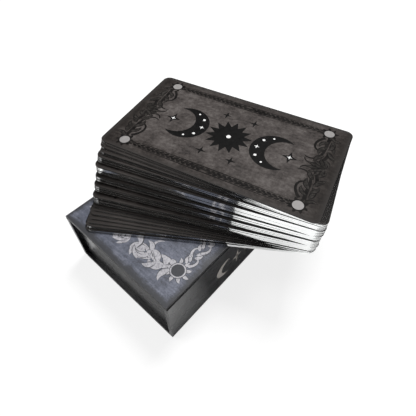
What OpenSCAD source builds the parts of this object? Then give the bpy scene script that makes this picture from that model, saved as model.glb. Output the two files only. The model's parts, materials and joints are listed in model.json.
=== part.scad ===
// Tarot card deck: a book-style card box with a hinged lid and a magnetic flap,
// and its pack of cards lying fanned out on the closed lid.
// Lengths in millimetres. X runs along the spine, Y from the spine to the flap, Z up.
// The origin is the middle of the box on its underside.

/* [Cards] */
// Short side of a card
card_w = 70; // [60:0.5:80]
// Long side of a card
card_l = 120; // [100:0.5:140]
// Thickness of a card
card_t = 0.365; // [0.3:0.005:0.45]
// Corner radius of a card
card_corner_r = 4; // [2:0.5:8]
// Air between two cards that lie on each other
card_air = 0.02; // [0.01:0.005:0.05]

/* [Fan] */
// Pinched corner of the pack, along the spine from the middle of the box
pinch_x = 5.9; // [-10:0.1:20]
// Pinched corner of the pack, across the box from its middle
pinch_y = -69.4; // [-80:0.1:-60]
// Heading of the bottom packet's long side, from the X axis, in degrees
deck_heading = 125.1; // [110:0.1:135]
// Turn from the bottom packet to the uppermost packet, in degrees
fan_turn = 19.9; // [0:0.1:45]
// Shift of the fanned packets towards their front side
packet_lead = 2; // [0:0.1:5]
// Shift of the fanned packets along their long side, towards the pinched corner
packet_slide = 0.8; // [0:0.1:3]
// Shift of the packets dragged along under the top card, towards their front side
drag_lead = 1.7; // [0:0.1:4]
// Shift of the packets dragged along under the top card, away from the pinched corner
drag_slide = 3.1; // [0:0.1:6]
// Largest turn of a single card out of its packet, in degrees
card_wobble = 0.06; // [0:0.01:1]
// Largest end-to-end shift of a single card out of its packet
card_stagger = 0.35; // [0:0.05:1]
// Further turn of the top card, in degrees
top_card_turn = 0.9; // [0:0.1:6]
// Shift of the top card along its long side
top_card_slide = 2.3; // [0:0.1:8]
// Shift of the top card towards its front side
top_card_lead = 3.7; // [0:0.1:6]

/* [Box] */
// Clearance around the squared pack in the tray
card_play = 0.6; // [0.3:0.1:3]
// Room above the squared pack in the tray
head_room = 4.37; // [2:0.01:12]
// Greyboard of the lid, flap, spine and base
board_t = 2; // [1.5:0.1:3]
// Greyboard of the tray
tray_board_t = 1.5; // [1.2:0.1:2.5]
// Covering paper
wrap_t = 0.2; // [0.15:0.01:0.3]
// Overhang of lid and base past the tray's ends
lip = 2.5; // [1:0.1:5]
// Gap between the tray's rim and the lid
rim_gap = 0.1; // [0.05:0.05:0.5]
// Gap between the tray's front wall and the flap
flap_gap = 0.2; // [0.1:0.05:0.5]
// Height of the flap's lower edge above the table
flap_foot = 0.8; // [0.4:0.1:2]
// Height of the spine's lower edge above the table
spine_foot = 0.3; // [0.2:0.1:1]
// Width of the covering paper turned in round the inner faces
turn_in = 8; // [5:0.5:14]

/* [Hinges] */
// Radius of the rolled paper crease on each hinge line
crease_r = 0.5; // [0.3:0.05:0.8]
// Running clearance round the creases
crease_gap = 0.05; // [0.02:0.01:0.1]

/* [Magnets] */
// Radius of the closing magnets
magnet_r = 5; // [3:0.5:7]
// Thickness of the closing magnets
magnet_t = 1; // [0.6:0.1:1.2]
// Distance of each magnet from the middle of the flap
magnet_x = 32; // [15:1:50]

/* [Hidden] */
// Cards in each packet, counted from the bottom
packet_cards = [4, 4, 1, 1, 2, 1, 2, 2, 3, 5, 3, 3, 2, 3, 3, 3, 3, 4, 2, 5, 6, 2, 2, 3, 2,
    1, 1, 1, 1, 1, 1];
// Share of the fan's turn that each packet has, counted from the bottom
packet_turn_shares = [0, 0.03, 0.125, 0.19, 0.255, 0.311, 0.363, 0.475, 0.393, 0.411, 0.445, 0.579,
    0.493, 0.523, 0.553, 0.678, 0.592, 0.627, 0.748, 0.661, 0.687, 0.778, 0.73, 0.769, 0.804,
    0.864, 0.825, 0.864, 0.91, 0.955, 1];
// Share of the packets' lead and slide that each packet has, counted from the bottom
packet_shift_shares = [0, 0, 0.3, 0.5, 0.7, 0.9, 1, 0, 1, 1, 1, 1,
    1, 1, 1, 0.1, 1, 1, 1, 1, 1, 0.6, 1, 1, 1,
    0.6, 1, 1, 1, 1, 1];
// Share of the drag that the uppermost packets follow, counted from the top
drag_shares = [0.75, 0.5, 0.25];
// Steps of the cards' wobble and stagger from card to card, in degrees
wobble_step = 137.5;
stagger_step = 83;
// Overrun of cuts past the faces they open
overrun = 1;

packets = len(packet_cards);
top_index = first_card(packets);
cards = top_index + 1;
card_pitch = card_t + card_air;
deck_h = cards * card_pitch;

panel_t = board_t + 2 * wrap_t;
wall_t = tray_board_t + 2 * wrap_t;
cavity_l = card_l + 2 * card_play;
cavity_w = card_w + 2 * card_play;
box_l = cavity_l + 2 * wall_t + 2 * lip;
box_w = cavity_w + 2 * wall_t + 2 * panel_t + flap_gap;
floor_t = tray_board_t + wrap_t;
lid_z = panel_t + floor_t + deck_h + head_room + rim_gap;
box_h = lid_z + panel_t;
half_l = box_l / 2;
half_w = box_w / 2;

// Hinge lines run along X, one at each long edge of the lid
lid_y0 = -half_w + crease_r;
lid_y1 = half_w - crease_r;
relief_r = crease_r + crease_gap;
board_relief_r = relief_r + wrap_t;
panel_top = lid_z - crease_gap;
spine_y1 = -half_w + panel_t;
flap_y0 = half_w - panel_t;

// Tray faces: outside, board and cavity
tray_x = half_l - lip;
tray_y0 = spine_y1;
tray_y1 = flap_y0 - flap_gap;
tray_z0 = panel_t;
tray_z1 = lid_z - rim_gap;
floor_z = tray_z0 + tray_board_t;
board_in = wrap_t + tray_board_t;
magnet_z = panel_t + (lid_z - panel_t) / 2;

// Facets of the round parts
$fn = 32;

board_color = [0.55, 0.52, 0.48];
wrap_color = [0.16, 0.16, 0.17];
lid_color = [0.42, 0.43, 0.47];
liner_color = [0.12, 0.12, 0.13];
magnet_color = [0.75, 0.75, 0.77];
card_color = [0.3, 0.29, 0.28];
packet_color = [0.6, 0.6, 0.62];

// Name of a packet's node
function packet_name(k) = str("card_packet_", k + 1 < 10 ? "0" : "", k + 1);

// Index of the lowest card of a packet
function first_card(k) = k == 0 ? 0 : first_card(k - 1) + packet_cards[k - 1];

// Height of a card's underside
function card_z(i) = box_h + card_air + i * card_pitch;

// Heading of a packet's long side
function packet_heading(k) = deck_heading - fan_turn * packet_turn_shares[k];

// Share of the drag that a packet follows
function drag_share(k) = packets - 1 - k < len(drag_shares) ? drag_shares[packets - 1 - k] : 0;

// Box from one corner to the opposite one
module block(low, high) {
    translate(low)
        cube(high - low);
}

// Round bar along X, as long as the box
module bar_x(y, z, r, past = 0) {
    translate([-half_l - past, y, z])
        rotate([0, 90, 0])
            cylinder(h = box_l + 2 * past, r = r);
}

// Disc with its flat faces towards the spine and the flap
module disc_y(x, y, r, t) {
    translate([x, y, magnet_z])
        rotate([-90, 0, 0])
            cylinder(h = t, r = r);
}

// Base: board and full covering
module base_panel(inset) {
    block([-half_l + inset, spine_y1 + inset, inset],
        [half_l - inset, tray_y1 - inset, panel_t - inset]);
}

module base_board() {
    color(board_color)
        base_panel(wrap_t);
}

module base_wrap() {
    color(wrap_color)
        difference() {
            base_panel(0);
            base_panel(wrap_t);
        }
}

// Spine: board and covering, with the lid's crease along its upper outer edge
module spine_panel(inset) {
    block([-half_l + inset, -half_w + inset, spine_foot + inset],
        [half_l - inset, spine_y1 - inset, panel_top - inset]);
}

module spine_board() {
    color(board_color)
        spine_panel(wrap_t);
}

module spine_wrap() {
    color(wrap_color)
        difference() {
            union() {
                spine_panel(0);
                bar_x(lid_y0, lid_z, crease_r);
            }
            spine_panel(wrap_t);
        }
}

// Tray: folded board, covering inside and out, and a floor sheet
module tray_body() {
    difference() {
        block([-tray_x + wrap_t, tray_y0 + wrap_t, tray_z0],
            [tray_x - wrap_t, tray_y1 - wrap_t, tray_z1 - wrap_t]);
        block([-tray_x + board_in, tray_y0 + board_in, floor_z],
            [tray_x - board_in, tray_y1 - board_in, tray_z1]);
    }
}

module tray_cavity() {
    block([-tray_x + wall_t, tray_y0 + wall_t, floor_z],
        [tray_x - wall_t, tray_y1 - wall_t, tray_z1 + overrun]);
}

module tray_board() {
    color(board_color)
        difference() {
            tray_body();
            tray_discs();
        }
}

module tray_wrap() {
    color(wrap_color)
        difference() {
            block([-tray_x, tray_y0, tray_z0], [tray_x, tray_y1, tray_z1]);
            tray_body();
            tray_cavity();
        }
}

module tray_liner() {
    color(liner_color)
        block([-tray_x + wall_t, tray_y0 + wall_t, floor_z],
            [tray_x - wall_t, tray_y1 - wall_t, floor_z + wrap_t]);
}

module tray_discs() {
    for (side = [-1, 1])
        disc_y(side * magnet_x, tray_y1 - wrap_t - magnet_t, magnet_r, magnet_t);
}

module tray_magnets() {
    color(magnet_color)
        tray_discs();
}

// Lid: board, covering with turned-in edges and the flap's crease, and an inner sheet
module lid_panel(inset, cut_r) {
    difference() {
        block([-half_l + inset, lid_y0 + inset, lid_z + inset],
            [half_l - inset, lid_y1 - inset, box_h - inset]);
        bar_x(lid_y0, lid_z, cut_r, overrun);
    }
}

module lid_sheet(below) {
    block([-half_l + turn_in, lid_y0 + turn_in, lid_z - below],
        [half_l - turn_in, lid_y1 - turn_in, lid_z + wrap_t]);
}

module lid_board() {
    color(board_color)
        lid_panel(wrap_t, board_relief_r);
}

module lid_wrap() {
    color(lid_color)
        difference() {
            union() {
                lid_panel(0, relief_r);
                bar_x(lid_y1, lid_z, crease_r);
            }
            lid_panel(wrap_t, board_relief_r);
            lid_sheet(overrun);
        }
}

module lid_liner() {
    color(liner_color)
        lid_sheet(0);
}

// Flap: board with magnet pockets, covering and an inner sheet
module flap_panel(inset, cut_r) {
    difference() {
        block([-half_l + inset, flap_y0 + inset, flap_foot + inset],
            [half_l - inset, half_w - inset, panel_top - inset]);
        bar_x(lid_y1, lid_z, cut_r, overrun);
    }
}

module flap_sheet(behind) {
    block([-half_l + turn_in, flap_y0 - behind, flap_foot + turn_in],
        [half_l - turn_in, flap_y0 + wrap_t, panel_top - turn_in]);
}

module flap_board() {
    color(board_color)
        difference() {
            flap_panel(wrap_t, board_relief_r);
            flap_discs();
        }
}

module flap_wrap() {
    color(wrap_color)
        difference() {
            flap_panel(0, relief_r);
            flap_panel(wrap_t, board_relief_r);
            flap_sheet(overrun);
        }
}

module flap_liner() {
    color(liner_color)
        flap_sheet(0);
}

module flap_discs() {
    for (side = [-1, 1])
        disc_y(side * magnet_x, flap_y0 + wrap_t, magnet_r, magnet_t);
}

module flap_magnets() {
    color(magnet_color)
        flap_discs();
}

// One card, with the middle of its pinched corner's rounding at the origin
module card_slab() {
    far_x = card_l - 2 * card_corner_r;
    far_y = -card_w + 2 * card_corner_r;
    linear_extrude(card_t)
        union() {
            translate([-card_corner_r, far_y])
                square([card_l, -far_y]);
            translate([0, far_y - card_corner_r])
                square([far_x, card_w]);
            for (x = [0, far_x], y = [0, far_y])
                translate([x, y])
                    circle(r = card_corner_r);
        }
}

module placed_card(i, heading, slide, lead) {
    translate([pinch_x, pinch_y, card_z(i)])
        rotate([0, 0, heading])
            translate([slide, lead, 0])
                card_slab();
}

// Packet of cards that turns as one about the pinched corner
module card_packet(k) {
    low = first_card(k);
    color(packet_color)
        for (n = [0 : packet_cards[k] - 1])
            placed_card(low + n,
                packet_heading(k) + card_wobble * sin(n * wobble_step),
                card_stagger * sin(n * stagger_step)
                    - packet_slide * packet_shift_shares[k] + drag_slide * drag_share(k),
                packet_lead * packet_shift_shares[k] + drag_lead * drag_share(k));
}

module top_card() {
    color(card_color)
        placed_card(top_index, packet_heading(packets - 1) - top_card_turn,
            top_card_slide, top_card_lead);
}

base_board();
base_wrap();
spine_board();
spine_wrap();
tray_board();
tray_wrap();
tray_liner();
tray_magnets();
lid_board();
lid_wrap();
lid_liner();
flap_board();
flap_wrap();
flap_liner();
flap_magnets();
for (k = [0 : packets - 1])
    card_packet(k);
top_card();
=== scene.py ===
import bmesh
import bpy
import json
import math
from mathutils import Matrix, Vector


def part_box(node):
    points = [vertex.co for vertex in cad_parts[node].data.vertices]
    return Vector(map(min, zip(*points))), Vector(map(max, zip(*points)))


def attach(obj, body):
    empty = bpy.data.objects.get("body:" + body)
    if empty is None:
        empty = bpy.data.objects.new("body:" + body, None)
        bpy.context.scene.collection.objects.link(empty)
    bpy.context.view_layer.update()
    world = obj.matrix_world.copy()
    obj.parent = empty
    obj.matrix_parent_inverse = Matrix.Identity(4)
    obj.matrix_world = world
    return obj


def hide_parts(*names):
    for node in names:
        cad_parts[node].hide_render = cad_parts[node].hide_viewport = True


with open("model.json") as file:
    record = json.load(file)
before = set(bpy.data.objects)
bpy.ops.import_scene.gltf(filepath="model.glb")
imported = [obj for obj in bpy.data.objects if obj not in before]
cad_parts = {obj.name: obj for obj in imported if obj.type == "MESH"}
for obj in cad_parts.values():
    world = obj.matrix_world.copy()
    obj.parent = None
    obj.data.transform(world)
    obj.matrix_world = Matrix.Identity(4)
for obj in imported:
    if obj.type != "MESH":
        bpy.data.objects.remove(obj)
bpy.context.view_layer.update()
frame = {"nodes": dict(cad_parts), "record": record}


# Boards: grey millboard, 2 mm in the panels and 1.5 mm in the tray, cut square on a guillotine.
# Paper is glued round every one of them, so little more than their fibre would ever be seen.
mm = 0.001
board_dark = (0.16, 0.15, 0.14)
board_pale = (0.31, 0.29, 0.27)


def node(tree, kind, links=None, **settings):
    """A shader node; links gives each named input a value, or the output that feeds it."""
    made = tree.nodes.new("ShaderNode" + kind)
    for name, value in settings.items():
        setattr(made, name, value)
    for name, value in (links or {}).items():
        if isinstance(value, bpy.types.NodeSocket):
            tree.links.new(value, made.inputs[name])
        else:
            made.inputs[name].default_value = value
    return made


def finish(name, **plain):
    """A new finish: the material, its node tree and its main shader with the plain values set."""
    made = bpy.data.materials.new(name)
    made.use_nodes = True
    shader = made.node_tree.nodes["Principled BSDF"]
    for socket, value in plain.items():
        shader.inputs[socket.replace("_", " ")].default_value = value
    return made, made.node_tree, shader


def speckle(tree, size, detail=4.0, roughness=0.55, where=None):
    """Cloudy noise whose clouds are about size across, in the object's own frame unless told where."""
    if where is None:
        where = node(tree, "TexCoord").outputs["Object"]
    return node(tree, "TexNoise", {"Vector": where, "Scale": 1 / size, "Detail": detail,
                                   "Roughness": roughness}).outputs["Fac"]


def shades(tree, amount, *stops):
    """Runs a value through a ramp of (place, colour) stops; a colour may be one grey."""
    ramp = node(tree, "ValToRGB", {"Fac": amount})
    band = ramp.color_ramp
    while len(band.elements) < len(stops):
        band.elements.new(1.0)
    for element, (place, colour) in zip(band.elements, stops):
        element.position = place
        grey = isinstance(colour, (int, float))
        element.color = (colour, colour, colour, 1) if grey else (*colour, 1)
    return ramp.outputs["Color"]


def feed(tree, shader, socket, amount, *stops):
    """Sets one input of a finish by a value run through a ramp of stops."""
    tree.links.new(shades(tree, amount, *stops), shader.inputs[socket])


def relief(tree, shader, height, depth, strength=1.0):
    """Bumps on a finish, depth deep."""
    bump = node(tree, "Bump", {"Height": height, "Distance": depth, "Strength": strength})
    tree.links.new(bump.outputs["Normal"], shader.inputs["Normal"])


def dress(coat, *names):
    """Gives CAD nodes that stay in view their finish."""
    for name in names:
        for slot in frame["nodes"][name].material_slots:
            slot.material = coat


greyboard, tree, shader = finish("greyboard")
fibre = speckle(tree, 0.6 * mm, 8, 0.7)
feed(tree, shader, "Base Color", fibre, (0.3, board_dark), (0.7, board_pale))
feed(tree, shader, "Roughness", fibre, (0.2, 0.95), (0.8, 0.8))
relief(tree, shader, fibre, 0.05 * mm)
dress(greyboard, "base_board", "spine_board", "tray_board", "lid_board", "flap_board")


# Wraps of the case: black paper with a satin film, glued round the boards and turned in at the edges.
# The film rubs thin along the folds, where the paper shows a little paler; the paler colour also paints a
# highlight there.
fold_r = 0.28 * mm
fold_facets = 3
fold_angle = 1.0
flat_angle = 0.01
broad_face = 50 * mm * mm
hair = 0.001 * mm
film_black = (0.010, 0.010, 0.011)
film_grey = (0.019, 0.019, 0.021)
# The paler fold colours are partly rubbed wear and partly a painted highlight along the edges.
fold_dark = (0.03, 0.03, 0.033)
fold_worn_and_highlight = (0.11, 0.11, 0.115)


def piece(name, shape, *finishes):
    """Makes a finished mesh a piece of the scene."""
    mesh = bpy.data.meshes.new(name)
    shape.to_mesh(mesh)
    shape.free()
    made = bpy.data.objects.new(name, mesh)
    bpy.context.scene.collection.objects.link(made)
    for one in finishes:
        mesh.materials.append(one)
    return made


def folded(source):
    """A CAD wrap with its long outer folds rounded; the rounded strips take the second finish."""
    shape = bmesh.new()
    shape.from_mesh(frame["nodes"][source].data)
    bmesh.ops.remove_doubles(shape, verts=shape.verts, dist=hair)
    bmesh.ops.dissolve_limit(shape, angle_limit=flat_angle, verts=shape.verts, edges=shape.edges)
    folds = [edge for edge in shape.edges
             if len(edge.link_faces) == 2 and edge.is_convex and edge.calc_face_angle() > fold_angle
             and min(face.calc_area() for face in edge.link_faces) > broad_face]
    strips = bmesh.ops.bevel(shape, geom=folds, offset=fold_r, offset_type="OFFSET", affect="EDGES",
                             segments=fold_facets, profile=0.5, material=-1)
    for face in strips["faces"]:
        face.material_index = 1
        face.smooth = True
    return shape


black_film, tree, shader = finish("black_film", Specular_IOR_Level=0.30)
cloud = speckle(tree, 14 * mm, 5)
tooth = speckle(tree, 0.35 * mm, 3)
feed(tree, shader, "Base Color", cloud, (0.3, film_black), (0.75, film_grey))
feed(tree, shader, "Roughness", cloud, (0.3, 0.22), (0.7, 0.32))
relief(tree, shader, tooth, 0.006 * mm, 0.5)

# Painted highlight: the rounded folds are paler than the film, partly rubbed wear and partly the light
# caught along the edges.
rubbed_fold_and_highlight, tree, shader = finish("rubbed_fold_and_highlight")
rub_and_highlight = speckle(tree, 1.6 * mm, 6, 0.7)
feed(tree, shader, "Base Color", rub_and_highlight, (0.42, fold_dark), (0.62, fold_worn_and_highlight))
feed(tree, shader, "Roughness", rub_and_highlight, (0.3, 0.38), (0.7, 0.6))
relief(tree, shader, rub_and_highlight, 0.02 * mm)

case_wraps = (("base_wrap", "box"), ("spine_wrap", "box"), ("tray_wrap", "box"), ("flap_wrap", "flap"))
for source, body in case_wraps:
    wrap = piece(source.replace("_wrap", "_paper"), folded(source), black_film, rubbed_fold_and_highlight)
    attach(wrap, body)
    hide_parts(source)


# Liners: smoke-grey printed paper pasted inside the tray, under the lid and behind the flap.
# A faint cloudy tint and the tooth of uncoated paper are all that is on it.
liner_dark = (0.045, 0.046, 0.052)
liner_pale = (0.095, 0.098, 0.108)
liner_paper, tree, shader = finish("liner_paper")
cloud = speckle(tree, 18 * mm, 6, 0.6)
tooth = speckle(tree, 0.3 * mm, 4)
feed(tree, shader, "Base Color", cloud, (0.3, liner_dark), (0.7, liner_pale))
feed(tree, shader, "Roughness", tooth, (0.3, 0.7), (0.7, 0.85))
relief(tree, shader, tooth, 0.02 * mm, 0.6)
dress(liner_paper, "tray_liner", "lid_liner", "flap_liner")


# Magnets: thin nickel-plated discs let into the tray front and the flap, under the paper.
# Pressing and plating leave a fine grain on their faces.
nickel_dark = (0.50, 0.49, 0.46)
nickel_pale = (0.62, 0.61, 0.58)
nickel, tree, shader = finish("nickel", Metallic=1.0)
grain = speckle(tree, 0.4 * mm, 5)
feed(tree, shader, "Base Color", grain, (0.3, nickel_dark), (0.7, nickel_pale))
feed(tree, shader, "Roughness", grain, (0.3, 0.25), (0.7, 0.42))
relief(tree, shader, grain, 0.004 * mm)
dress(nickel, "tray_magnets", "flap_magnets")


# Foil row on the spine: five signs in warm silver hot foil, pressed into the film along its middle.
# Crescents stand at the ends, tall stars next to them and a rayed disc between them. The figures are drawn
# about 1 across and scaled to size.
foil_tall = 15 * mm
foil_wide = 8.5 * mm
foil_step = 10.5 * mm
foil_t = 0.02 * mm
foil_moon = (0.5, 0.46, 0.24)
foil_star = (4, 0.5, 0.14)
foil_glint = (4, 0.5, 0.16)
foil_glint_size = 0.6 * foil_wide
foil_sun = 0.22
foil_ray = (2, 0.5, 0.18)
foil_ray_size = 0.3 * foil_wide
foil_ray_out = 0.42 * foil_wide
foil_dark = (0.68, 0.63, 0.57)
foil_pale = (0.86, 0.81, 0.75)
ends = (-1, 1)


def mark(rim, finish_index):
    """Gives the face inside a rim its finish, and hands the rim back."""
    for face in rim[0].link_faces:
        face.material_index = finish_index
    return rim


def star(shape, points, outer, inner, finish_index=0):
    """A flat star."""
    rim = bmesh.ops.create_circle(shape, cap_ends=True, segments=2 * points, radius=outer)["verts"]
    for turn, corner in enumerate(rim):
        if turn % 2:
            corner.co *= inner / outer
    return mark(rim, finish_index)


def disc(shape, radius, finish_index=0):
    """A flat disc."""
    rim = bmesh.ops.create_circle(shape, cap_ends=True, segments=32, radius=radius)["verts"]
    return mark(rim, finish_index)


def crescent(shape, radius, bite_r, bite_x, finish_index=0):
    """A flat crescent: the side of a disc that the bite covers is pressed in to the bite's own round."""
    rim = bmesh.ops.create_circle(shape, cap_ends=True, segments=48, radius=radius)["verts"]
    tip_x = (bite_x ** 2 + radius ** 2 - bite_r ** 2) / (2 * bite_x)
    tip_y = math.sqrt(radius ** 2 - tip_x ** 2)
    reach = math.atan2(tip_y, tip_x)
    bite_reach = math.atan2(tip_y, tip_x - bite_x)
    for corner in rim:
        bearing = math.atan2(corner.co.y, corner.co.x)
        if abs(bearing) < reach:
            bearing = math.pi - bearing / reach * (math.pi - bite_reach)
            corner.co = Vector((bite_x + bite_r * math.cos(bearing), bite_r * math.sin(bearing), 0))
    return mark(rim, finish_index)


def put(shape, rim, where, turn=0.0, size=(1, 1)):
    """Moves a flat figure to its place, turned by degrees."""
    bmesh.ops.transform(shape, verts=rim, matrix=Matrix.Translation((where[0], where[1], 0))
                        @ Matrix.Rotation(math.radians(turn), 4, "Z")
                        @ Matrix.Diagonal((size[0], size[1], 1, 1)))


def off(middle, reach, bearing):
    """The point at reach from middle, at a bearing in degrees."""
    bearing = math.radians(bearing)
    return middle[0] + reach * math.cos(bearing), middle[1] + reach * math.sin(bearing)


def thicken(shape, thickness):
    """Turns flat figures into thin closed plates standing on z = 0."""
    for face in shape.faces:
        if face.normal.z < 0:
            face.normal_flip()
    raised = bmesh.ops.extrude_face_region(shape, geom=list(shape.faces))["geom"]
    upper = [part for part in raised if isinstance(part, bmesh.types.BMVert)]
    bmesh.ops.translate(shape, verts=upper, vec=(0, 0, thickness))
    bmesh.ops.recalc_face_normals(shape, faces=shape.faces)


silver_foil, tree, shader = finish("silver_foil", Metallic=0.25)
press = speckle(tree, 0.8 * mm, 5)
feed(tree, shader, "Base Color", press, (0.3, foil_dark), (0.7, foil_pale))
feed(tree, shader, "Roughness", press, (0.3, 0.3), (0.7, 0.5))
relief(tree, shader, press, 0.01 * mm)

signs = bmesh.new()
for end in ends:
    put(signs, crescent(signs, *foil_moon), (2 * end * foil_step, 0), 90 + 90 * end, (foil_tall, foil_tall))
for end in ends:
    put(signs, star(signs, *foil_star), (end * foil_step, 0), 0, (foil_wide, foil_tall))
    put(signs, star(signs, *foil_glint), (end * foil_step, 0), 45, (foil_glint_size, foil_glint_size))
put(signs, disc(signs, foil_sun), (0, 0), 0, (foil_wide, foil_wide))
for bearing in range(0, 360, 45):
    put(signs, star(signs, *foil_ray), off((0, 0), foil_ray_out, bearing), bearing,
        (foil_ray_size, foil_ray_size))
thicken(signs, foil_t)
spine_low, spine_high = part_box("spine_wrap")
spine_face = Matrix.Translation((0, spine_low.y, (spine_low.z + spine_high.z) / 2))
bmesh.ops.transform(signs, verts=signs.verts, matrix=spine_face @ Matrix.Rotation(math.pi / 2, 4, "X"))
foil_row = piece("spine_foil_row", signs, silver_foil)
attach(foil_row, "box")


# Lid wrap: the same paper printed in mottled blue-grey that darkens to slate at the edges.
# It is glued over the lid board, and its long far edge carries the flap's crease.
slate = (0.046, 0.047, 0.053)
storm = (0.046, 0.048, 0.060)
haze = (0.112, 0.121, 0.157)
mist = (0.200, 0.212, 0.264)
lid_shore = (1.2 * mm, 5 * mm)
lid_waver = 9 * mm
lid_print_deep = 0.2 * mm
lid_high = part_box("lid_wrap")[1]


def sums(tree, operation, first, second=0.0, third=0.0):
    """One step of arithmetic on values."""
    return node(tree, "Math", {0: first, 1: second, 2: third}, operation=operation).outputs[0]


def mixed(tree, *parts):
    """Values added up by their shares."""
    total = 0.0
    for value, share in parts:
        total = sums(tree, "MULTIPLY_ADD", value, share, total)
    return total


def inset(tree, along, half):
    """How far a point lies in from the nearer of two edges, each half away from the middle."""
    return sums(tree, "SUBTRACT", half, sums(tree, "ABSOLUTE", along))


def ragged(tree, distance, noise, reach):
    """A distance that wavers with a noise, up to half of reach either way."""
    return sums(tree, "MULTIPLY_ADD", sums(tree, "SUBTRACT", noise, 0.5), reach, distance)


def fade(tree, value, low, high, at_low=0.0, at_high=1.0):
    """A soft step between two values."""
    return node(tree, "MapRange", {"Value": value, "From Min": low, "From Max": high, "To Min": at_low,
                                   "To Max": at_high}, interpolation_type="SMOOTHSTEP").outputs[0]


def blend(tree, amount, under, over, how="MIX"):
    """Two colours mixed by amount; a Mix node takes colours at 6 and 7 and gives one at 2."""
    made = node(tree, "Mix", data_type="RGBA", blend_type=how)
    for socket, value in ((0, amount), (6, under), (7, over)):
        if isinstance(value, bpy.types.NodeSocket):
            tree.links.new(value, made.inputs[socket])
        else:
            made.inputs[socket].default_value = value if socket == 0 else (*value, 1)
    return made.outputs[2]


def stretched(tree, where, scale):
    """A place with its axes scaled, for noise in streaks."""
    return node(tree, "Mapping", {"Vector": where, "Scale": scale}).outputs[0]


lid_print, tree, shader = finish("lid_print", Specular_IOR_Level=0.26)
here = node(tree, "TexCoord").outputs["Object"]
across = node(tree, "SeparateXYZ", {"Vector": here}).outputs
cloud = speckle(tree, 9 * mm, 8, 0.62, here)
streak = speckle(tree, 1.6 * mm, 6, 0.7, stretched(tree, here, (1, 0.16, 1)))
fleck = speckle(tree, 0.8 * mm, 5, 0.7, here)
mottle = mixed(tree, (cloud, 0.36), (fleck, 0.30), (streak, 0.34))
ground = shades(tree, mottle, (0.39, storm), (0.50, haze), (0.61, mist))
from_end = inset(tree, across["X"], lid_high.x)
from_side = inset(tree, across["Y"], lid_high.y)
inward = ragged(tree, sums(tree, "MINIMUM", from_end, from_side), mottle, lid_waver)
printed = blend(tree, fade(tree, inward, *lid_shore), slate, ground)
on_top = sums(tree, "GREATER_THAN", across["Z"], lid_high.z - lid_print_deep)
tree.links.new(blend(tree, on_top, film_black, printed), shader.inputs["Base Color"])
feed(tree, shader, "Roughness", cloud, (0.3, 0.42), (0.7, 0.55))
relief(tree, shader, fleck, 0.008 * mm, 0.6)

lid_paper = piece("lid_paper", folded("lid_wrap"), lid_print, rubbed_fold_and_highlight)
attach(lid_paper, "lid")
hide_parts("lid_wrap")


# Ornament on the lid, printed in silver-grey ink with a dark outline: leaf scrolls, a crescent in a palmette
# at each end, a roundel in each corner. Places are in mm in one quarter of the lid; a stroke is its start,
# bearing, length, bend, curl and width, a crescent its radius and its bite's radius and place.
ink_t = 0.0006 * mm
outline_wide = 0.7
silver_slot, outline_slot = 0, 1
roundel_at = (47.4, 29.9)
roundel_rim, roundel_ring, roundel_eye = 4.4, 4.1, 3.4
roundel_ray_out = 3.6
roundel_ray = (3.6, 0.9, 1.6, 1.8)
lid_moon_x = 50.0
lid_moon_rim = (5.6, 4.9, 2.3)
lid_moon = (5.0, 4.5, 2.4)
lid_plate_lift = 0.0160 * mm
lid_plate_step = 0.0008 * mm
lid_scrolls = (((49.5, 26.0), -66, 25, -1.2, -7.5, 2.6),
               ((51.5, 14.5), -128, 19, 1.0, 9.0, 2.2),
               ((47.0, 26.0), -118, 15, 1.4, 8.0, 1.9))
lid_leaves = (((50.0, 26.5), -40, 8.5, 1.0, 2.8, 3.0),
              ((51.5, 22.5), -40, 9.5, -1.2, -3.0, 3.4),
              ((51.8, 18.0), -5, 7.0, -1.0, -2.5, 2.8),
              ((50.0, 23.5), -160, 8.0, 1.2, 2.8, 2.9),
              ((51.0, 19.0), -150, 9.0, 1.0, 2.5, 3.2),
              ((51.5, 15.0), -80, 8.5, 0.8, 1.8, 3.2),
              ((50.0, 12.5), -20, 7.5, -0.8, -2.0, 2.8),
              ((49.0, 12.0), -165, 7.5, 1.2, 2.4, 2.6),
              ((50.5, 9.5), -60, 8.0, -0.8, -2.0, 2.6))
lid_palmette_foot = (51.0, 3.2)
lid_palmette_turns = (0, 32, 64, 96)
lid_palmette_leaf = (0.5, 1.2, 2.8)
lid_vine_y = 31.0
lid_vine_start = 42.5
lid_vine_step = 4.9
lid_vine_links = 9
lid_vine = ((0, -1.2, 50, 9.0, -1.2, -7.0, 1.5, False),
            (-0.6, 0.6, -50, 5.2, 1.0, 2.0, 2.0, True),
            (-2.4, 0, -20, 4.4, -0.8, -1.6, 1.6, True))


def pen(name):
    """A nib for flat strokes: a curve with a flat section whose width each point sets."""
    nib = bpy.data.curves.new(name, "CURVE")
    nib.dimensions = "3D"
    nib.twist_mode = "Z_UP"
    nib.bevel_depth = 1 * mm
    nib.bevel_resolution = 0
    nib.use_fill_caps = True
    return nib


def stroke(nib, start, bearing, length, bend, curl, width, leaf=False, flip=(1, 1), steps=16, layer=0):
    """A stroke that sets out at a bearing in degrees and ends in a point, layer inks above the paper.

    It turns at the rate bend, in radians to its length, which goes over to curl by its end. A leaf swells
    in the middle, any other stroke thins from its start.
    """
    line = nib.splines.new("POLY")
    line.points.add(steps)
    x, y = start
    bearing = math.radians(bearing)
    for step, point in enumerate(line.points):
        along = step / steps
        if leaf:
            swell = math.sin(math.pi * (0.04 + 0.94 * along ** 0.8))
        else:
            swell = 0.15 + 0.85 * (1 - along) ** 0.55
        point.co = (x * mm * flip[0], y * mm * flip[1], layer * mm, 1)
        point.radius = swell * width / 2
        bearing += (bend + (curl - bend) * along ** 2) / steps
        x += math.cos(bearing) * length / steps
        y += math.sin(bearing) * length / steps


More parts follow.
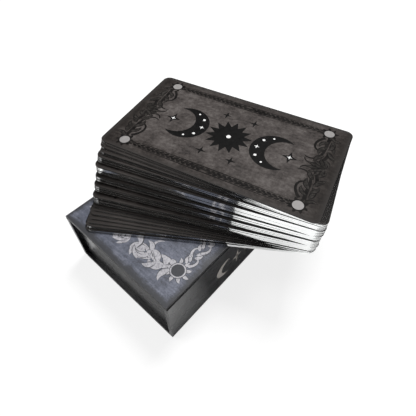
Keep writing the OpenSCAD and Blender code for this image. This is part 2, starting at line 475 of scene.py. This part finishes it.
def inked(shape, nib, lift, finish_index):
    """Adds the strokes of a nib to a mesh as flat ink, lift above its paper."""
    holder = bpy.data.objects.new(nib.name, nib)
    bpy.context.scene.collection.objects.link(holder)
    evaluated = holder.evaluated_get(bpy.context.evaluated_depsgraph_get())
    drawn = bpy.data.meshes.new_from_object(evaluated)
    bpy.data.objects.remove(holder)
    drawn.transform(Matrix.Translation((0, 0, lift)) @ Matrix.Diagonal((1, 1, ink_t / mm, 1)))
    before = len(shape.faces)
    shape.from_mesh(drawn)
    bpy.data.meshes.remove(drawn)
    shape.faces.ensure_lookup_table()
    for face in shape.faces[before:]:
        face.material_index = finish_index
        face.smooth = False


def plates(shape, lift, figures):
    """Adds flat figures (maker, numbers, place, turn) to a mesh as thin plates, lift above its paper."""
    flat = bmesh.new()
    for maker, numbers, where, turn in figures:
        put(flat, maker(flat, *numbers), (where[0] * mm, where[1] * mm), turn, (mm, mm))
    thicken(flat, ink_t)
    bmesh.ops.translate(flat, verts=flat.verts, vec=(0, 0, lift))
    layer = bpy.data.meshes.new("plates")
    flat.to_mesh(layer)
    flat.free()
    shape.from_mesh(layer)
    bpy.data.meshes.remove(layer)


def ink(name, shine, wash_size, detail, roughness, thin, full, sheen=(0.42, 0.52)):
    """A printed ink whose wash runs between two (place, colour) stops."""
    made, tree, shader = finish(name, Specular_IOR_Level=shine)
    wash = speckle(tree, wash_size, detail, roughness)
    feed(tree, shader, "Base Color", wash, thin, full)
    feed(tree, shader, "Roughness", wash, (0.3, sheen[0]), (0.7, sheen[1]))
    return made


silver_ink, tree, shader = finish("silver_ink", Specular_IOR_Level=0.4)
hatch = speckle(tree, 0.9 * mm, 6, 0.7)
feed(tree, shader, "Base Color", hatch,
     (0.34, (0.16, 0.16, 0.18)), (0.48, (0.40, 0.39, 0.42)), (0.7, (0.56, 0.55, 0.58)))
feed(tree, shader, "Roughness", hatch, (0.3, 0.5), (0.7, 0.38))
relief(tree, shader, hatch, 0.004 * mm)

outline_ink = ink("outline_ink", 0.3, 2 * mm, 5, 0.55,
                  (0.3, (0.022, 0.023, 0.028)), (0.7, (0.050, 0.052, 0.062)), (0.45, 0.6))

quarters = [(a, b) for a in ends for b in ends]
silver_nib, dark_nib = pen("silver_strokes"), pen("dark_strokes")


def silver_stroke(start, bearing, length, bend, curl, width, leaf=False, flip=(1, 1)):
    """A silver stroke on its dark outline, which shows where it crosses the strokes before it."""
    layer = 7 * (len(silver_nib.splines) % 4)
    stroke(dark_nib, start, bearing, length, bend, curl, width + outline_wide, leaf, flip, layer=layer)
    stroke(silver_nib, start, bearing, length, bend, curl, width, leaf, flip, layer=layer + 3.5)


for flip in quarters:
    for scroll in lid_scrolls:
        silver_stroke(*scroll, False, flip)
    for blade in lid_leaves:
        silver_stroke(*blade, True, flip)
    for turn in lid_palmette_turns:
        length = 9.5 - abs(turn - 48) / 18
        silver_stroke(lid_palmette_foot, turn, length, *lid_palmette_leaf, True, flip)
    for bearing in range(10, 370, 40):
        silver_stroke(off(roundel_at, roundel_ray_out, bearing), bearing - 30, *roundel_ray, True, flip)
    for link in range(lid_vine_links):
        x = lid_vine_start - lid_vine_step * link
        side = 1 if link % 2 else -1
        for shift, rise, swing, length, bend, curl, width, is_leaf in lid_vine:
            silver_stroke((x + shift, lid_vine_y + rise * side), 180 + swing * side,
                          length, bend * side, curl * side, width, is_leaf, flip)


def in_corners(maker, numbers, place):
    """The same figure in all four quarters."""
    return [(maker, numbers, (place[0] * a, place[1] * b), 0) for a, b in quarters]


def at_ends(maker, numbers, x):
    """The same figure at both ends, each turned outwards."""
    return [(maker, numbers, (x * a, 0), 90 - 90 * a) for a in ends]


ornament = bmesh.new()
inked(ornament, dark_nib, 0, outline_slot)
inked(ornament, silver_nib, 0, silver_slot)
plates(ornament, lid_plate_lift, in_corners(disc, (roundel_rim, outline_slot), roundel_at)
       + at_ends(crescent, (*lid_moon_rim, outline_slot), lid_moon_x))
plates(ornament, lid_plate_lift + lid_plate_step, in_corners(disc, (roundel_ring, silver_slot), roundel_at)
       + at_ends(crescent, (*lid_moon, silver_slot), lid_moon_x))
plates(ornament, lid_plate_lift + 2 * lid_plate_step,
       in_corners(disc, (roundel_eye, outline_slot), roundel_at))
bmesh.ops.translate(ornament, verts=ornament.verts, vec=(0, 0, lid_high.z))
lid_ornament = piece("lid_ornament", ornament, silver_ink, outline_ink)
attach(lid_ornament, "lid")


# Cards: seventy-eight rounded cards of laminated stock, cut as one block and silvered on their edges.
# Every card has the same dark clouded back, smoky round the frame and darker at the ends, with a painted
# shadow line along the cut, and a plain sun in a ring on its face.
card_corner = 4 * mm
card_corner_facets = 8
card_rim = 0.004 * mm
card_swell = 0.012 * mm
back_slot, face_slot, edge_slot = range(3)
back_dark = (0.032, 0.028, 0.027)
back_brown = (0.080, 0.070, 0.066)
back_pale = (0.145, 0.131, 0.125)
back_slip = 2.5 * mm
smoke_from_end = 10 * mm
smoke_from_side = 6.5 * mm
smoke_reach = 6 * mm
smoke_waver = 12 * mm
smoke_tint = (0.64, 0.63, 0.62)
end_dark_reach = 13 * mm
end_dark_tint = (0.46, 0.45, 0.44)
back_shore = (-0.8 * mm, 4 * mm)
shore_waver = 4 * mm
shore_brown = (0.046, 0.042, 0.040)
# Painted shade: a near-black line along every card's cut edge stands in for the shade between stepped
# packets.
rim_shade_reach = (0.2 * mm, 0.6 * mm)
rim_shade_black = (0.006, 0.006, 0.006)
face_margin = 5 * mm
face_black = (0.020, 0.019, 0.019)
face_dark = (0.10, 0.10, 0.105)
face_pale = (0.34, 0.33, 0.33)
sign_black = (0.03, 0.03, 0.032)
sun_rays = 8
sun_r = 15 * mm
sun_flare = 4 * mm
ring_r = 24 * mm
ring_half = 0.7 * mm
edge_dark = (0.75, 0.76, 0.755)
edge_bright = (0.81, 0.82, 0.815)


def card_places(packet):
    """Where the CAD has each card of a packet, its long side along x; the long sides are knocked flush."""
    points = [corner.co for corner in frame["nodes"][packet].data.vertices]
    levels = sorted({round(point.z, 6) for point in points})
    places = []
    for under in levels[::2]:
        rim = sorted({(round(p.x, 7), round(p.y, 7)) for p in points if abs(p.z - under) < hair})
        mid_x = sum(x for x, y in rim) / len(rim)
        mid_y = sum(y for x, y in rim) / len(rim)
        spread_x = sum((x - mid_x) ** 2 for x, y in rim)
        spread_y = sum((y - mid_y) ** 2 for x, y in rim)
        spread_xy = sum((x - mid_x) * (y - mid_y) for x, y in rim)
        heading = 0.5 * math.atan2(2 * spread_xy, spread_x - spread_y) % math.pi
        place = Matrix.Translation((mid_x, mid_y, under)) @ Matrix.Rotation(heading, 4, "Z")
        if places:
            stagger = places[0].inverted() @ place.translation
            place = places[0] @ Matrix.Translation((stagger.x, 0, stagger.z))
        places.append(place)
    return places


level = card_places("top_card")[0].inverted()
laid_flat = [level @ corner.co for corner in frame["nodes"]["top_card"].data.vertices]
card_long = 2 * max(p.x for p in laid_flat)
card_wide = 2 * max(p.y for p in laid_flat)
card_low, card_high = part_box("top_card")
card_thick = card_high.z - card_low.z + card_swell

card_back, tree, shader = finish("card_back", Specular_IOR_Level=0.05)
here = node(tree, "UVMap", uv_map="card").outputs[0]
across = node(tree, "SeparateXYZ", {"Vector": here}).outputs
cloud = speckle(tree, 13 * mm, 8, 0.66, here)
fleck = speckle(tree, 1.9 * mm, 7, 0.75, here)
streak = speckle(tree, 2.2 * mm, 6, 0.7, stretched(tree, here, (0.3, 1, 1)))
mottle = mixed(tree, (cloud, 0.42), (fleck, 0.36), (streak, 0.22))
ground = shades(tree, mottle, (0.40, back_dark), (0.50, back_brown), (0.60, back_pale))
from_end = inset(tree, across["X"], card_long / 2)
from_side = inset(tree, across["Y"], card_wide / 2)
from_cut = sums(tree, "MINIMUM", from_end, from_side)
from_frame_end = inset(tree, sums(tree, "SUBTRACT", across["X"], back_slip), card_long / 2)
in_frame = sums(tree, "MINIMUM", sums(tree, "SUBTRACT", from_frame_end, smoke_from_end),
                sums(tree, "SUBTRACT", from_side, smoke_from_side))
smoke = fade(tree, ragged(tree, in_frame, mottle, smoke_waver), 0, smoke_reach, 1, 0)
ground = blend(tree, smoke, ground, smoke_tint, "MULTIPLY")
# Darker towards both ends of the card.
ground = blend(tree, fade(tree, from_end, 0, end_dark_reach, 1, 0), ground, end_dark_tint, "MULTIPLY")
shore = fade(tree, ragged(tree, from_cut, fleck, shore_waver), *back_shore)
ground = blend(tree, shore, shore_brown, ground)
# Painted shade: the near-black line along the cut, for the shade where the packets step over one another.
ground = blend(tree, fade(tree, from_cut, *rim_shade_reach), rim_shade_black, ground)
tree.links.new(ground, shader.inputs["Base Color"])
feed(tree, shader, "Roughness", cloud, (0.3, 0.42), (0.7, 0.52))
relief(tree, shader, fleck, 0.006 * mm, 0.5)

card_face, tree, shader = finish("card_face", Specular_IOR_Level=0.3)
here = node(tree, "UVMap", uv_map="card").outputs[0]
across = node(tree, "SeparateXYZ", {"Vector": here}).outputs
cloud = speckle(tree, 10 * mm, 7, 0.62, here)
ground = shades(tree, cloud, (0.38, face_dark), (0.62, face_pale))
from_end = inset(tree, across["X"], card_long / 2)
from_side = inset(tree, across["Y"], card_wide / 2)
panel = sums(tree, "GREATER_THAN", sums(tree, "MINIMUM", from_end, from_side), face_margin)
from_mid = node(tree, "VectorMath", {0: here}, operation="LENGTH").outputs["Value"]
bearing = sums(tree, "ARCTAN2", across["Y"], across["X"])
wave = sums(tree, "COSINE", sums(tree, "MULTIPLY", bearing, sun_rays))
sun = sums(tree, "LESS_THAN", from_mid, sums(tree, "MULTIPLY_ADD", wave, sun_flare, sun_r))
ring = sums(tree, "COMPARE", from_mid, ring_r, ring_half)
signed = blend(tree, sums(tree, "MAXIMUM", sun, ring), ground, sign_black)
tree.links.new(blend(tree, panel, face_black, signed), shader.inputs["Base Color"])
feed(tree, shader, "Roughness", cloud, (0.3, 0.45), (0.7, 0.55))
relief(tree, shader, cloud, 0.006 * mm, 0.5)

silver_edge, tree, shader = finish("silver_edge", Metallic=0.985)
grain = speckle(tree, 0.5 * mm, 5, 0.65)
feed(tree, shader, "Base Color", grain, (0.3, edge_dark), (0.7, edge_bright))
feed(tree, shader, "Roughness", grain, (0.3, 0.08), (0.7, 0.11))
relief(tree, shader, grain, 0.0001 * mm, 0.1)

blank_shape = bmesh.new()
bmesh.ops.create_cube(blank_shape, size=1, matrix=Matrix.Translation((0, 0, card_thick / 2))
                      @ Matrix.Diagonal((card_long, card_wide, card_thick, 1)))
upright = [e for e in blank_shape.edges if abs(e.verts[0].co.z - e.verts[1].co.z) > card_thick / 2]
bmesh.ops.bevel(blank_shape, geom=upright, offset=card_corner, offset_type="OFFSET", affect="EDGES",
                segments=card_corner_facets, profile=0.5, material=-1)
rim = [e for e in blank_shape.edges if any(abs(face.normal.z) > 0.9 for face in e.link_faces)]
bmesh.ops.bevel(blank_shape, geom=rim, offset=card_rim, offset_type="OFFSET", affect="EDGES",
                segments=1, profile=0.5, material=-1)
card_map = blank_shape.loops.layers.uv.new("card")
for face in blank_shape.faces:
    up = face.normal.z
    face.material_index = back_slot if up > 0.99 else face_slot if up < -0.99 else edge_slot
    face.smooth = abs(up) < 0.1 and face.calc_area() < card_corner * card_thick
    for loop in face.loops:
        loop[card_map].uv = loop.vert.co.xy
blank = bpy.data.meshes.new("card_blank")
blank_shape.to_mesh(blank)
blank_shape.free()


# Print on the card backs, ink under the film: a pale disc in each corner, leaf scrolls across the ends,
# sprigged lines along the sides and a black sun between two crescents. Places are in mm in one quarter of
# the card; strokes and crescents are written as on the lid, a star as its points, outer and inner radius.
border_slot, black_slot, pale_slot, white_slot, leaf_slot = range(3, 8)
back_ink_lift = 0.0010 * mm
back_plate_lift = 0.0054 * mm
back_plate_step = 0.0010 * mm
leaf_outline = 1.1
corner_disc_at = (48, 28)
corner_disc_rim, corner_disc_r = 3.5, 2.75
corner_ray_out = 2.8
corner_ray = (2.3, 0.8, 1.4, 1.6)
side_lines = ((26.4, 0.7), (28.3, 0.8), (30.2, 0.7))
side_line_half = 43
sprig_y = 28.3
sprig_start = 44.4
sprig_step = 2.9
sprig_count = 15
sprig_gap = 0.7
sprig_long, sprig_bend, sprig_curl, sprig_wide = 3.3, -0.9, -1.8, 1.3
back_scrolls = (((49.5, 24.0), -100, 25, 0.8, -8.5, 2.1),
                ((47.0, 23.5), -140, 17, 1.2, 8.5, 1.7),
                ((52.2, 13.0), -95, 20, -0.6, -8.0, 2.0))
back_leaves = (((50.0, 25.5), -60, 7, 1.2, 2.4, 2.6),
               ((51.0, 22.0), -50, 8.5, -1.2, -2.4, 3.0),
               ((50.5, 18.0), -20, 6.5, -1.0, -2.0, 2.6),
               ((49.5, 20.5), -170, 7.0, 1.2, 2.6, 2.6),
               ((50.0, 16.5), -150, 8.5, 1.0, 2.4, 3.0),
               ((51.0, 13.5), -70, 7.5, 0.8, 1.6, 2.8),
               ((51.5, 10.0), 0, 5.5, -1.0, -2.0, 2.4),
               ((50.0, 9.5), -150, 8.0, 0.8, 2.0, 2.8),
               ((51.0, 6.0), -20, 5.5, -0.8, -1.6, 2.4))
back_palmette_foot = (53.0, 0.3)
back_palmette_turns = (0, 24, 48, 72)
back_palmette_leaf = (-0.3, -0.6, 2.6)
back_sun = (14, 13.0, 8.4)
back_sun_eye = 1.25
back_moon = (13.0, 10.4, 5.8)
back_moon_x = 26.0
moon_glint_x = 16.4
moon_dots = ((0.8, (18.0, 6.4)), (0.6, (22.6, 9.9)))
back_star = (4, 4.6, 1.5)
back_star_x = 34.5
back_glint = (4, 1.5, 0.5)
back_spark = (4, 3.2, 0.9)
back_spark_at = (8.5, 16.5)

border_ink = ink("border_ink", 0.04, 3 * mm, 6, 0.65,
                 (0.35, (0.004, 0.0035, 0.0035)), (0.65, (0.018, 0.016, 0.015)))
leaf_ink = ink("leaf_ink", 0.04, 1.6 * mm, 6, 0.7,
               (0.38, (0.012, 0.011, 0.010)), (0.62, (0.050, 0.045, 0.042)))
black_ink = ink("black_ink", 0.06, 2 * mm, 5, 0.55,
                (0.3, (0.003, 0.003, 0.003)), (0.7, (0.007, 0.0065, 0.0065)))
pale_ink = ink("pale_ink", 0.3, 1.2 * mm, 4, 0.55,
               (0.3, (0.275, 0.263, 0.259)), (0.7, (0.335, 0.320, 0.315)))
white_ink = ink("white_ink", 0.3, 1.2 * mm, 4, 0.55,
                (0.3, (0.84, 0.84, 0.83)), (0.7, (0.92, 0.92, 0.91)))

border_nib, leaf_nib = pen("border_strokes"), pen("leaf_strokes")


def leaf(start, bearing, length, bend, curl, width, flip):
    """A leaf with a dark outline and a paler body, which overlaps the leaf before it."""
    layer = 4 * (len(leaf_nib.splines) % 2)
    stroke(border_nib, start, bearing, length, bend, curl, width, True, flip, 8, layer)
    stroke(leaf_nib, start, bearing, length, bend, curl, width - leaf_outline, True, flip, 8, layer + 2)


for flip in quarters:
    for line, weight in side_lines:
        stroke(border_nib, (0, line), 0, side_line_half, 0, 0, weight, False, flip, 4)
    for sprig in range(sprig_count):
        for side in ends:
            foot = (sprig_start - sprig_step * sprig - sprig_gap * side, sprig_y)
            stroke(border_nib, foot, 180 + 50 * side, sprig_long, sprig_bend * side, sprig_curl * side,
                   sprig_wide, True, flip, 5)
    for scroll in back_scrolls:
        stroke(border_nib, *scroll, False, flip)
    for blade in back_leaves:
        leaf(*blade, flip)
    for turn in back_palmette_turns:
        leaf(back_palmette_foot, 180 - turn, 10.5 - turn / 20, *back_palmette_leaf, flip)
    for bearing in range(15, 375, 45):
        foot = off(corner_disc_at, corner_ray_out, bearing)
        stroke(border_nib, foot, bearing - 25, *corner_ray, True, flip, 6)

back_shape = bmesh.new()
inked(back_shape, border_nib, back_ink_lift, border_slot)
inked(back_shape, leaf_nib, back_ink_lift, leaf_slot)
plates(back_shape, back_plate_lift,
       in_corners(disc, (corner_disc_rim, border_slot), corner_disc_at)
       + [(star, (*back_sun, black_slot), (0, 0), 0)]
       + at_ends(crescent, (*back_moon, black_slot), back_moon_x)
       + at_ends(star, (*back_star, black_slot), back_star_x)
       + in_corners(star, (*back_spark, black_slot), back_spark_at))
bright = in_corners(disc, (corner_disc_r, pale_slot), corner_disc_at)
bright.append((disc, (back_sun_eye, white_slot), (0, 0), 0))
for x in (back_star_x, moon_glint_x):
    bright += at_ends(star, (*back_glint, white_slot), x)
for radius, place in moon_dots:
    bright += in_corners(disc, (radius, white_slot), place)
plates(back_shape, back_plate_lift + back_plate_step, bright)
bmesh.ops.translate(back_shape, verts=back_shape.verts, vec=(0, 0, card_thick))
back_print = bpy.data.meshes.new("back_print")
back_shape.to_mesh(back_print)
back_shape.free()


# The pack: packets of cards that slid apart lie fanned about one pinched corner, each packet one piece with
# its cards where the CAD has them, give or take a hair. Neighbours that were knocked together lie closer,
# three low packets are pushed forward, and only the uppermost card of a packet carries the print.
knocked_together = ((9, 10, 11), (13, 14, 15), (17, 18), (20, 21), (23, 24, 25), (27, 28), (29, 30))
knock_share = 0.65
pushed_forward = {"card_packet_03": 1.2 * mm, "card_packet_04": 0.9 * mm, "card_packet_05": 0.5 * mm}
card_finishes = (card_back, card_face, silver_edge, border_ink, black_ink, pale_ink, white_ink, leaf_ink)

behaviour = frame["record"]["behaviour"]
packets = {body: members[0] for body, members in behaviour["bodies"].items() if "card" in members[0]}
places_of = {packet: card_places(packet) for packet in packets.values()}
pinch = Vector(next(joint["pos_m"] for joint in behaviour["joints"] if joint["name"] == "fan_spread"))
knock = {}
for group in knocked_together:
    headings = {name: places_of[name][0].to_euler().z for name in ("card_packet_%02d" % n for n in group)}
    middle = sum(headings.values()) / len(headings)
    for name, heading in headings.items():
        knock[name] = knock_share * (middle - heading)

for body, packet in packets.items():
    shape = bmesh.new()
    turn = (Matrix.Translation(pinch) @ Matrix.Rotation(knock.get(packet, 0), 4, "Z")
            @ Matrix.Translation(-pinch))
    push = Matrix.Translation((0, pushed_forward.get(packet, 0), 0))
    places = [turn @ place @ push for place in places_of[packet]]
    for layer, place in [(blank, place) for place in places] + [(back_print, places[-1])]:
        laid = layer.copy()
        laid.transform(place)
        shape.from_mesh(laid)
        bpy.data.meshes.remove(laid)
    name = packet.replace("card_packet", "cards").replace("top_card", "cards_top")
    cards = piece(name, shape, *card_finishes)
    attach(cards, body)
    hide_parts(packet)


# Stage: a plain pale floor that keeps the shadow and sweeps up far out all round, under two soft lamps and
# a dim sky. It shows white to the camera and in reflections; the light on the object stays at a plain level.
floor_r = 1.6
floor_drop = 0.05 * mm
sweep_out = 0.8
sweep_up = 1.8
floor_grey = (0.85, 0.85, 0.85)
floor_bright = (1.45, 1.45, 1.45)
floor_clear = 0.8
sky_strength = 0.14
lamp_size = 0.30
lamp_aim = Vector((0, 0, 0.03))

floor_white, tree, _ = finish("floor_white")
path = node(tree, "LightPath").outputs
mirrored = sums(tree, "MAXIMUM", path["Is Glossy Ray"], path["Is Transmission Ray"])
seen = sums(tree, "MAXIMUM", path["Is Camera Ray"], mirrored)
clear = sums(tree, "MULTIPLY", path["Is Camera Ray"], floor_clear)
matt = node(tree, "BsdfDiffuse", {"Color": blend(tree, seen, floor_grey, floor_bright)})
white = node(tree, "Emission", {"Color": (1, 1, 1, 1), "Strength": 1.0})
both = node(tree, "MixShader", {0: clear, 1: matt.outputs[0], 2: white.outputs[0]})
tree.links.new(both.outputs[0], tree.nodes["Material Output"].inputs["Surface"])

sweep = bmesh.new()
bmesh.ops.create_circle(sweep, cap_ends=True, segments=64, radius=floor_r,
                        matrix=Matrix.Translation((0, 0, -floor_drop)))
rim = list(sweep.edges)
for degrees in range(10, 90, 10):
    rise = math.radians(degrees)
    risen = bmesh.ops.extrude_edge_only(sweep, edges=rim)["geom"]
    rim = [part for part in risen if isinstance(part, bmesh.types.BMEdge)]
    reach = floor_r + sweep_out * math.sin(rise)
    for corner in {corner for edge in rim for corner in edge.verts}:
        corner.co = (*(corner.co.xy.normalized() * reach), sweep_up * (1 - math.cos(rise)))
for face in sweep.faces:
    face.smooth = True
bmesh.ops.recalc_face_normals(sweep, faces=sweep.faces)
floor = piece("floor", sweep, floor_white)

world = bpy.data.worlds.new("studio")
bpy.context.scene.world = world
world.use_nodes = True
sky = world.node_tree.nodes["Background"].inputs
sky["Color"].default_value = (1, 1, 1, 1)
sky["Strength"].default_value = sky_strength


def lamp(name, where, power):
    """A square soft box that faces the object."""
    light = bpy.data.lights.new(name, "AREA")
    light.size = lamp_size
    light.energy = power
    made = bpy.data.objects.new(name, light)
    bpy.context.scene.collection.objects.link(made)
    made.location = where
    made.rotation_euler = (lamp_aim - Vector(where)).to_track_quat("-Z", "Y").to_euler()


lamp("key", (0.35, 0.09, 0.91), 7.2)
lamp("fill", (-0.30, 0.36, 0.85), 1.9)

camera_at = Vector((-96.7, -90.2, 190.3)) * mm
camera_heading = math.radians(40.34)
camera_dip = math.radians(52.16)
camera_roll = math.radians(1.37)
lens = bpy.data.cameras.new("camera")
lens.sensor_width = 36
lens.lens = 29.007
lens.clip_start = 0.01
camera = bpy.data.objects.new("camera", lens)
bpy.context.scene.collection.objects.link(camera)
camera.matrix_world = (Matrix.Translation(camera_at)
                       @ Matrix.Rotation(camera_heading - math.pi / 2, 4, "Z")
                       @ Matrix.Rotation(math.pi / 2 - camera_dip, 4, "X")
                       @ Matrix.Rotation(camera_roll, 4, "Z"))
bpy.context.scene.camera = camera
bpy.context.scene.view_settings.view_transform = "Standard"
